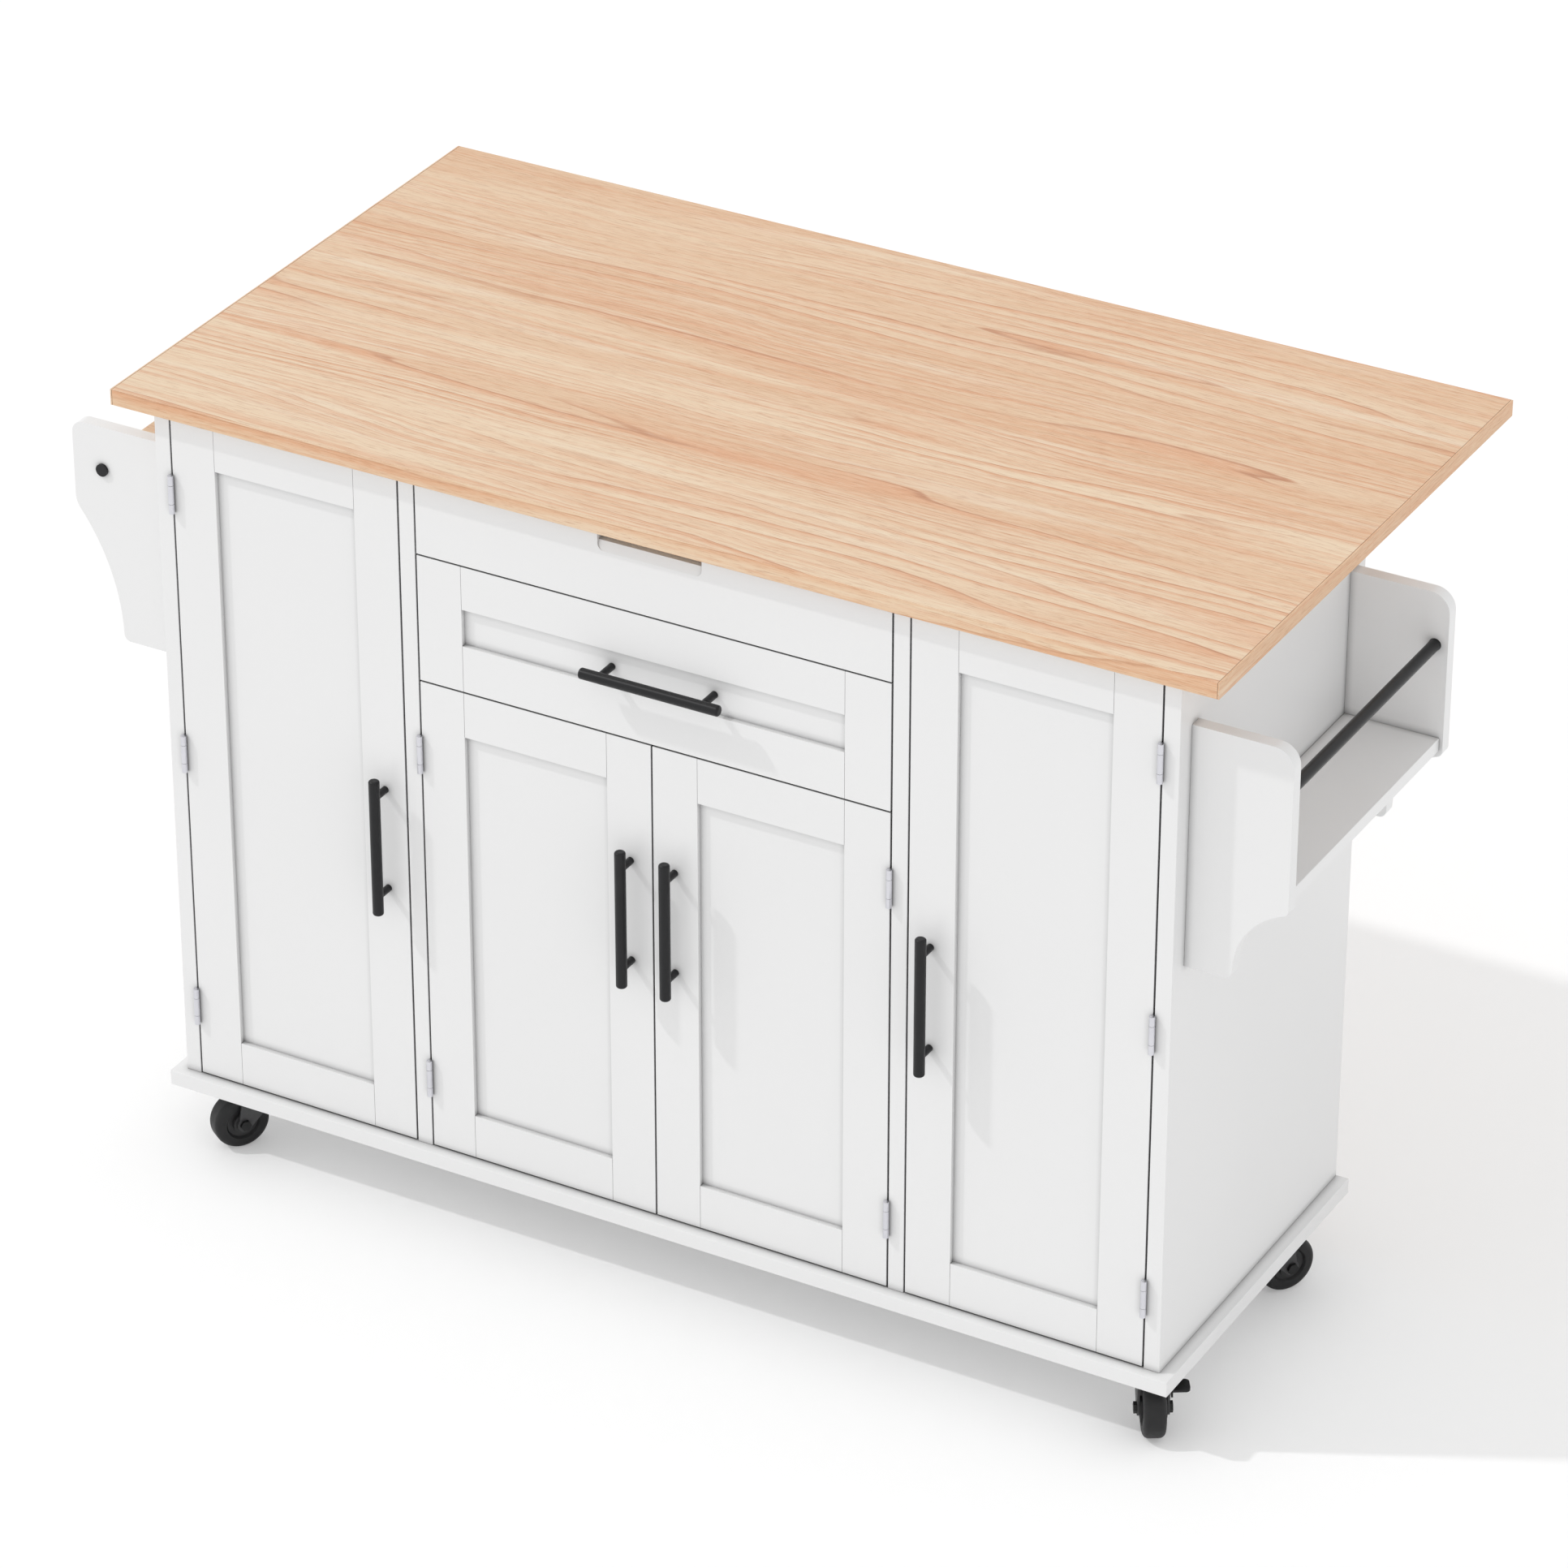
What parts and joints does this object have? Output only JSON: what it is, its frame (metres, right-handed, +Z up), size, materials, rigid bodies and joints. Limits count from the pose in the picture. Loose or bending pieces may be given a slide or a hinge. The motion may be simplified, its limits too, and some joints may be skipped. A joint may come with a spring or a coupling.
{
  "type": "drop leaf kitchen island",
  "caption": "Rolling kitchen island with a wood-look worktop, fold-down rear leaf, white framed doors and drawers, end racks and swivel casters.",
  "frame": {"origin": "bottom centre of the bounding box with the leaf raised, at floor level under the wheels", "axes": "+Z up, +X to the right along the front, +Y to the back towards the drop leaf"},
  "size_m": [1.4126, 0.6984, 0.914],
  "materials": {
    "white_board": "white satin laminate on board",
    "worktop_wood": "pale wood grain, satin",
    "drawer_wood": "pale board, matt",
    "black_metal": "black satin coating",
    "zinc_steel": "zinc plated",
    "wheel_plastic": "black, satin"
  },
  "bodies": {
    "cabinet": {"base_board": "white_board", "left_side_panel": "white_board", "right_side_panel": "white_board", "left_divider": "white_board", "right_divider": "white_board", "back_panel": "white_board", "shelves": "white_board", "shelf_rests": "zinc_steel", "main_top": "worktop_wood", "leaf_hinges_fixed": "zinc_steel", "support_wall_arms": "zinc_steel", "door_hinges_fixed": "zinc_steel", "drawer_runners_fixed": "zinc_steel", "left_rack_brackets": "white_board", "left_rack_ledge": "worktop_wood", "left_towel_rod": "black_metal", "right_rack_brackets": "white_board", "right_rack_shelf": "white_board", "right_rack_rod": "black_metal", "caster_plates": "black_metal"},
    "leaf": {"drop_leaf": "worktop_wood", "leaf_hinges_moving": "zinc_steel", "support_leaf_arms": "zinc_steel"},
    "struts": {"support_struts": "zinc_steel"},
    "top_drawer": {"top_drawer_front": "white_board", "top_drawer_box": "drawer_wood", "top_drawer_bottom": "drawer_wood", "top_drawer_rails": "zinc_steel"},
    "lower_drawer": {"lower_drawer_frame": "white_board", "lower_drawer_panel": "white_board", "lower_drawer_box": "drawer_wood", "lower_drawer_bottom": "drawer_wood", "drawer_handle": "black_metal", "lower_drawer_rails": "zinc_steel"},
    "left_door": {"left_door_frame": "white_board", "left_door_panel": "white_board", "left_door_handle": "black_metal", "left_door_hinges": "zinc_steel"},
    "centre_left_door": {"centre_left_door_frame": "white_board", "centre_left_door_panel": "white_board", "centre_left_door_handle": "black_metal", "centre_left_door_hinges": "zinc_steel"},
    "centre_right_door": {"centre_right_door_frame": "white_board", "centre_right_door_panel": "white_board", "centre_right_door_handle": "black_metal", "centre_right_door_hinges": "zinc_steel"},
    "right_door": {"right_door_frame": "white_board", "right_door_panel": "white_board", "right_door_handle": "black_metal", "right_door_hinges": "zinc_steel"},
    "front_left_fork": {"front_left_caster_fork": "black_metal"},
    "front_left_wheel": {"front_left_caster_wheel": "wheel_plastic"},
    "front_right_fork": {"front_right_caster_fork": "black_metal"},
    "front_right_wheel": {"front_right_caster_wheel": "wheel_plastic"},
    "rear_left_fork": {"rear_left_caster_fork": "black_metal"},
    "rear_left_wheel": {"rear_left_caster_wheel": "wheel_plastic"},
    "rear_right_fork": {"rear_right_caster_fork": "black_metal"},
    "rear_right_wheel": {"rear_right_caster_wheel": "wheel_plastic"},
    "front_left_lever": {"front_left_brake_lever": "black_metal"},
    "front_right_lever": {"front_right_brake_lever": "black_metal"}
  },
  "joints": [
    {"name": "leaf_fold", "type": "hinge", "parent": "cabinet", "child": "leaf", "pos_m": [0.00625, 0.09875, 0.8928], "axis": [-1, 0, 0], "range_deg": [0, 90]},
    {"name": "strut_fold", "type": "hinge", "parent": "cabinet", "child": "struts", "pos_m": [0.00625, 0.08675, 0.8128], "axis": [-1, 0, 0], "range_deg": [0, 121]},
    {"name": "top_drawer_slide", "type": "slide", "parent": "cabinet", "child": "top_drawer", "axis": [0, -1, 0], "range_m": [0, 0.25]},
    {"name": "lower_drawer_slide", "type": "slide", "parent": "cabinet", "child": "lower_drawer", "axis": [0, -1, 0], "range_m": [0, 0.25]},
    {"name": "left_door_hinge", "type": "hinge", "parent": "cabinet", "child": "left_door", "pos_m": [-0.56475, -0.32525, 0.495], "axis": [0, 0, -1], "range_deg": [0, 170]},
    {"name": "centre_left_door_hinge", "type": "hinge", "parent": "cabinet", "child": "centre_left_door", "pos_m": [-0.26925, -0.32525, 0.379], "axis": [0, 0, -1], "range_deg": [0, 105]},
    {"name": "centre_right_door_hinge", "type": "hinge", "parent": "cabinet", "child": "centre_right_door", "pos_m": [0.28175, -0.32525, 0.379], "axis": [0, 0, 1], "range_deg": [0, 105]},
    {"name": "right_door_hinge", "type": "hinge", "parent": "cabinet", "child": "right_door", "pos_m": [0.57725, -0.32525, 0.495], "axis": [0, 0, 1], "range_deg": [0, 170]},
    {"name": "front_left_swivel", "type": "hinge", "parent": "cabinet", "child": "front_left_fork", "pos_m": [-0.52125, -0.27675, 0.07], "axis": [0, 0, 1], "continuous": true},
    {"name": "front_left_spin", "type": "hinge", "parent": "front_left_fork", "child": "front_left_wheel", "pos_m": [-0.53523, -0.29748, 0.032], "axis": [0.829, -0.5592, 0], "continuous": true},
    {"name": "front_left_brake", "type": "hinge", "parent": "front_left_fork", "child": "front_left_lever", "pos_m": [-0.54365, -0.27491, 0.05], "axis": [0.829, -0.5592, 0], "range_deg": [0, 15]},
    {"name": "front_right_swivel", "type": "hinge", "parent": "cabinet", "child": "front_right_fork", "pos_m": [0.56575, -0.27675, 0.07], "axis": [0, 0, 1], "continuous": true},
    {"name": "front_right_spin", "type": "hinge", "parent": "front_right_fork", "child": "front_right_wheel", "pos_m": [0.579, -0.29795, 0.032], "axis": [0.848, 0.5299, 0], "continuous": true},
    {"name": "front_right_brake", "type": "hinge", "parent": "front_right_fork", "child": "front_right_lever", "pos_m": [0.5882, -0.27569, 0.05], "axis": [0.848, 0.5299, 0], "range_deg": [0, 15]},
    {"name": "rear_left_swivel", "type": "hinge", "parent": "cabinet", "child": "rear_left_fork", "pos_m": [-0.52125, -0.01175, 0.07], "axis": [0, 0, 1], "continuous": true},
    {"name": "rear_left_spin", "type": "hinge", "parent": "rear_left_fork", "child": "rear_left_wheel", "pos_m": [-0.53299, 0.01032, 0.032], "axis": [-0.8829, -0.4695, 0], "continuous": true},
    {"name": "rear_right_swivel", "type": "hinge", "parent": "cabinet", "child": "rear_right_fork", "pos_m": [0.56575, -0.01175, 0.07], "axis": [0, 0, 1], "continuous": true},
    {"name": "rear_right_spin", "type": "hinge", "parent": "rear_right_fork", "child": "rear_right_wheel", "pos_m": [0.57937, 0.00922, 0.032], "axis": [-0.8387, 0.5446, 0], "continuous": true}
  ],
  "couplings": [
    {"joint": "strut_fold", "follows": "leaf_fold", "ratio": 1.3237}
  ]
}
